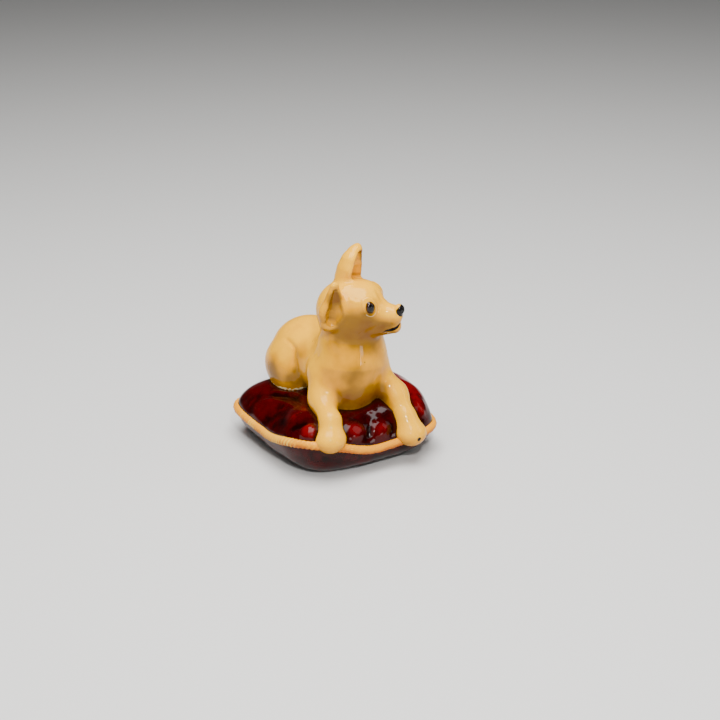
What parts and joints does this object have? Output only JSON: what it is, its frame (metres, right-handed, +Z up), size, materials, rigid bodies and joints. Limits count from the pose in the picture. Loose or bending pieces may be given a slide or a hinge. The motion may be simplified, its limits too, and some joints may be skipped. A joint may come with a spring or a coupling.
{
  "type": "porcelain dog figurine",
  "caption": "Glazed porcelain chihuahua lying on a puffed square cushion with corded piping, its head turned to its left and its forepaws over the cushion's front edge.",
  "frame": {"origin": "middle of the cushion on its flat underside, where the figurine stands", "axes": "+Z up; -Y towards the cushion's front edge, over which the forepaws hang; +X towards the dog's left"},
  "size_m": [0.0572, 0.0611, 0.0721],
  "materials": {
    "glazed_porcelain": "glossy coloured glaze"
  },
  "bodies": {
    "root": {"chihuahua_on_cushion": "glazed_porcelain"}
  },
  "joints": []
}
